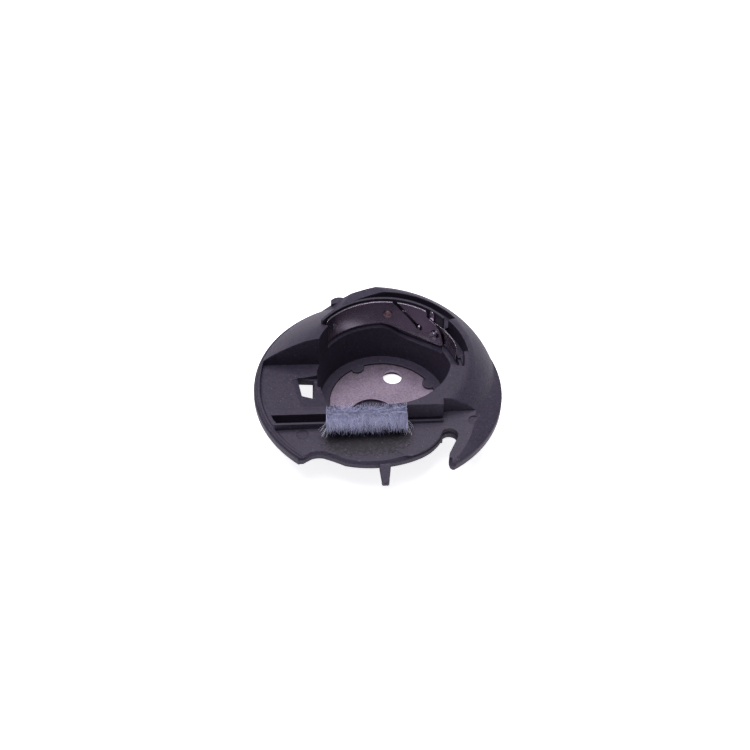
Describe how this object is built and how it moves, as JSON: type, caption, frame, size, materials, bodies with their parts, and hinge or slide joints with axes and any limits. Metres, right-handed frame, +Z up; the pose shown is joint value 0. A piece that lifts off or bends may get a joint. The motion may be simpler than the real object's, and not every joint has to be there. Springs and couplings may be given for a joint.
{
  "type": "bobbin case",
  "caption": "Round drop-in bobbin case with an open pocket, a spring-leaf thread tension plate and screw, a domed guard and a bristle strip.",
  "frame": {"origin": "on the bobbin pocket's axis, at the flat underside of the cup", "axes": "+X along the brush channel to the right, +Y from the brush towards the tension plate, +Z up along the bobbin axis"},
  "size_m": [0.0417, 0.0404, 0.014],
  "materials": {
    "black_plastic": "satin, fine grain",
    "base_steel": "sandblasted, slightly pink grey",
    "plate_steel": "polished spring steel",
    "leaf_steel": "polished spring steel",
    "screw_steel": "bright plated",
    "brass": "turned",
    "copper": "dull copper",
    "bristle": "blue-grey fibre pile",
    "backing": "woven tape"
  },
  "bodies": {
    "case": {"case_body": "black_plastic", "base_plate": "base_steel", "tension_plate": "plate_steel", "spring_leaf": "leaf_steel", "screw_insert": "brass", "plate_rivet": "copper", "locating_pin": "screw_steel", "eye_pin": "screw_steel", "brush_backing": "backing", "brush_pile": "bristle"},
    "screw": {"tension_screw": "screw_steel"}
  },
  "joints": [
    {"name": "screw_turn", "type": "hinge", "parent": "case", "child": "screw", "pos_m": [0.00892, 0.00803, 0.0095], "axis": [0.7431, 0.6691, 0], "range_deg": [-180, 180]}
  ]
}
